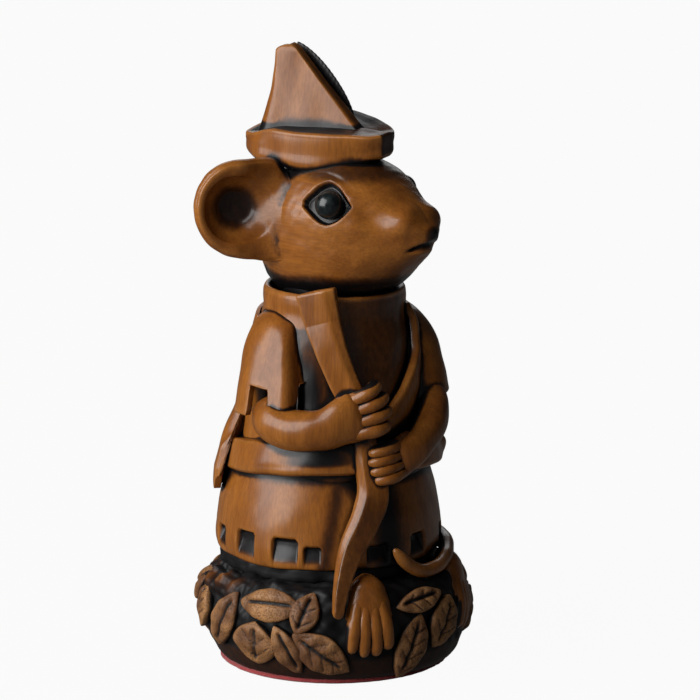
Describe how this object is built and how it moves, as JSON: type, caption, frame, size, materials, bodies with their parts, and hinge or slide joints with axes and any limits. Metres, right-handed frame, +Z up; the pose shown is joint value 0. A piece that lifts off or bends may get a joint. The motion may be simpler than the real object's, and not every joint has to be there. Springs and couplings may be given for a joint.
{
  "type": "mouse figurine",
  "caption": "Carved wooden mouse ornament in a belted tunic, cape and pointed hat, holding a bow, standing on a round leafy base with a felt underside.",
  "frame": {"origin": "centre of the felt's underside, on the plane the ornament stands on", "axes": "+Z up through the base, -Y the way the mouse faces, -X its right side"},
  "size_m": [0.053, 0.0531, 0.1196],
  "materials": {
    "carved_wood": "orange-brown stained wood, near-black stain left in the recesses, rubbed satin wax",
    "leaf_wood": "duller brown stained wood with open dark pores",
    "black_stained_wood": "black stained wood, satin",
    "dowel_wood": "plain unstained dowel rod, hidden",
    "eye_bead": "polished black bead",
    "red_felt": "dull red felt"
  },
  "bodies": {
    "root": {"base_mound": "carved_wood", "leg_block": "carved_wood", "skirt": "carved_wood", "belt": "carved_wood", "torso": "carved_wood", "cape": "carved_wood", "shoulder_strap": "carved_wood", "right_sleeve": "carved_wood", "left_sleeve": "carved_wood", "right_arm": "carved_wood", "left_arm": "carved_wood", "bow": "carved_wood", "right_foot": "carved_wood", "left_foot": "carved_wood", "tail": "carved_wood", "head": "carved_wood", "right_ear": "carved_wood", "left_ear": "carved_wood", "hat_brim": "carved_wood", "hat_crown": "carved_wood", "leaf_01": "leaf_wood", "leaf_02": "leaf_wood", "leaf_03": "leaf_wood", "leaf_04": "leaf_wood", "leaf_05": "leaf_wood", "leaf_06": "leaf_wood", "leaf_07": "leaf_wood", "leaf_08": "leaf_wood", "leaf_09": "leaf_wood", "leaf_10": "leaf_wood", "leaf_11": "leaf_wood", "leaf_12": "leaf_wood", "leaf_13": "leaf_wood", "leaf_14": "leaf_wood", "leaf_15": "leaf_wood", "leaf_16": "leaf_wood", "leaf_17": "leaf_wood", "leaf_18": "leaf_wood", "leaf_19": "leaf_wood", "leaf_20": "leaf_wood", "leaf_21": "leaf_wood", "leaf_22": "leaf_wood", "body_dowel": "dowel_wood", "neck_dowel": "dowel_wood", "hat_dowel": "dowel_wood", "right_sleeve_dowel": "dowel_wood", "left_sleeve_dowel": "dowel_wood", "hat_feather": "black_stained_wood", "right_eye": "eye_bead", "left_eye": "eye_bead", "felt_pad": "red_felt"}
  },
  "joints": []
}
